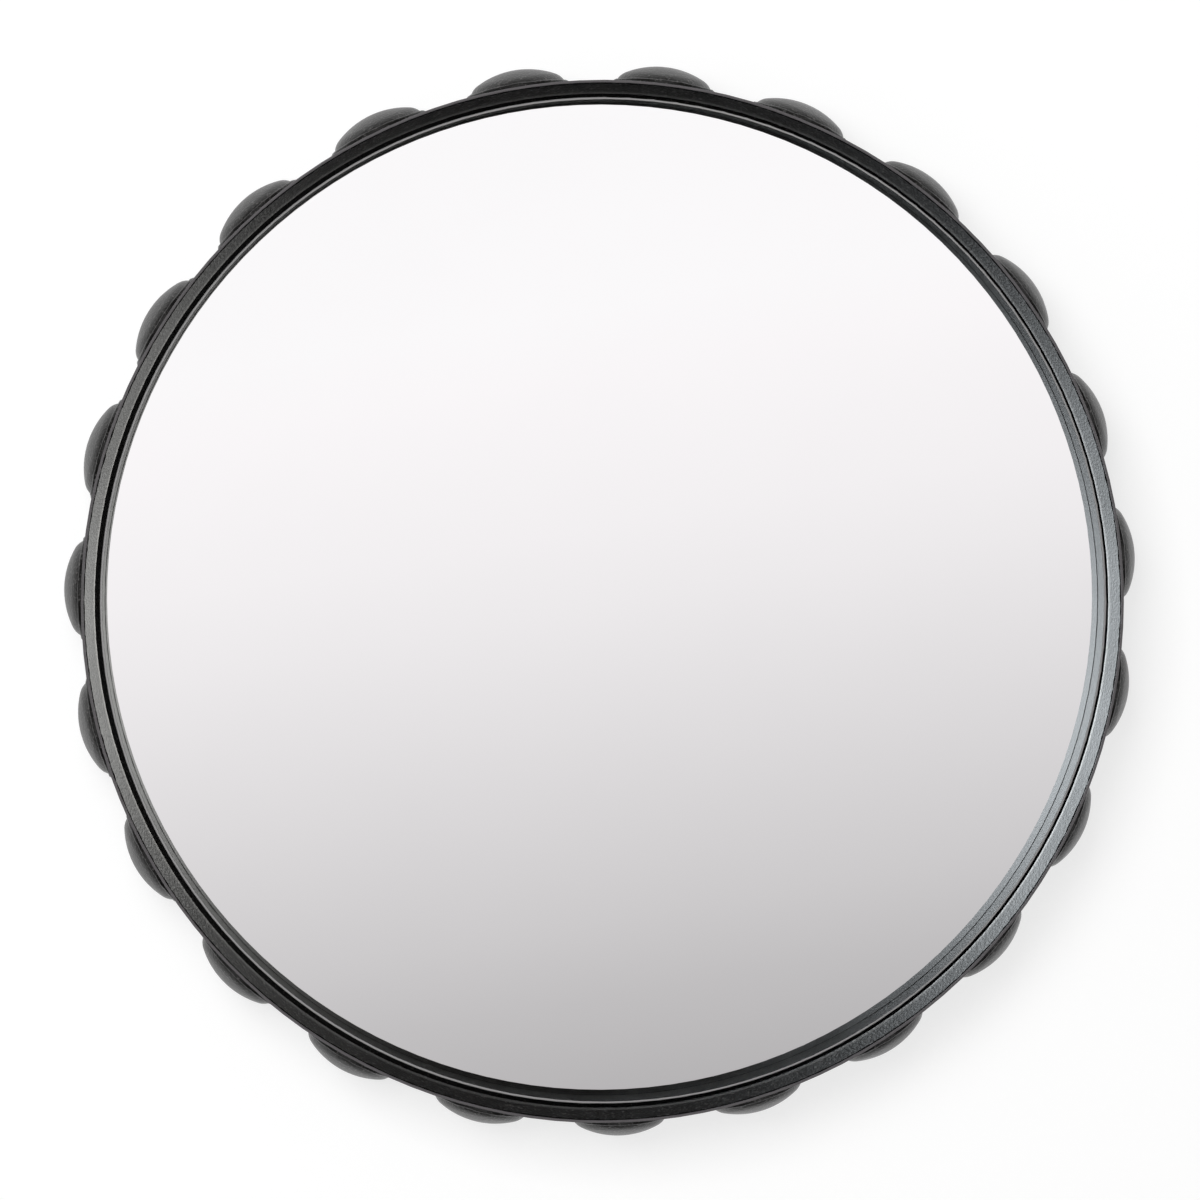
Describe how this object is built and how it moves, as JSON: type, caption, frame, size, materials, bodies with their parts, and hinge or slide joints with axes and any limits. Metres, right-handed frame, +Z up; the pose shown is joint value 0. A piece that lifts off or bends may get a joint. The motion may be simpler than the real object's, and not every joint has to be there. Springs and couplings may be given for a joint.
{
  "type": "round wall mirror",
  "caption": "Round wall mirror set back in a deep black steel hoop, with hollow domes round the outside and swinging hanging rings behind.",
  "frame": {"origin": "middle of the back rim, on the wall plane", "axes": "+Y into the wall, so the mirror looks along -Y; +Z up; +X to the right seen from the front"},
  "size_m": [0.5954, 0.06, 0.5947],
  "materials": {
    "black_coat": "satin powder coat with a fine grain",
    "mirror_glass": "silvered float glass",
    "foam_tape": "closed-cell foam",
    "fibreboard": "raw fibreboard",
    "zinc_plate": "bright zinc plate"
  },
  "bodies": {
    "frame": {"outer_band": "black_coat", "dome_01": "black_coat", "dome_02": "black_coat", "dome_03": "black_coat", "dome_04": "black_coat", "dome_05": "black_coat", "dome_06": "black_coat", "dome_07": "black_coat", "dome_08": "black_coat", "dome_09": "black_coat", "dome_10": "black_coat", "dome_11": "black_coat", "dome_12": "black_coat", "dome_13": "black_coat", "dome_14": "black_coat", "dome_15": "black_coat", "dome_16": "black_coat", "dome_17": "black_coat", "dome_18": "black_coat", "dome_19": "black_coat", "dome_20": "black_coat", "dome_21": "black_coat", "dome_22": "black_coat", "dome_23": "black_coat", "liner_ring": "black_coat", "mirror_hoop": "black_coat", "back_ring": "black_coat", "mirror_glass": "mirror_glass", "glass_tape": "foam_tape", "backing_board": "fibreboard", "board_screws": "zinc_plate", "hanger_screws": "zinc_plate", "hanger_strap_left": "zinc_plate", "hanger_strap_right": "zinc_plate"},
    "hanger_left": {"hanger_ring_left": "zinc_plate"},
    "hanger_right": {"hanger_ring_right": "zinc_plate"}
  },
  "joints": [
    {"name": "hanger_swing_left", "type": "hinge", "parent": "frame", "child": "hanger_left", "pos_m": [-0.16, -0.00444, 0.13], "axis": [1, 0, 0], "range_deg": [0, 180]},
    {"name": "hanger_swing_right", "type": "hinge", "parent": "frame", "child": "hanger_right", "pos_m": [0.16, -0.00444, 0.13], "axis": [1, 0, 0], "range_deg": [0, 180]}
  ]
}
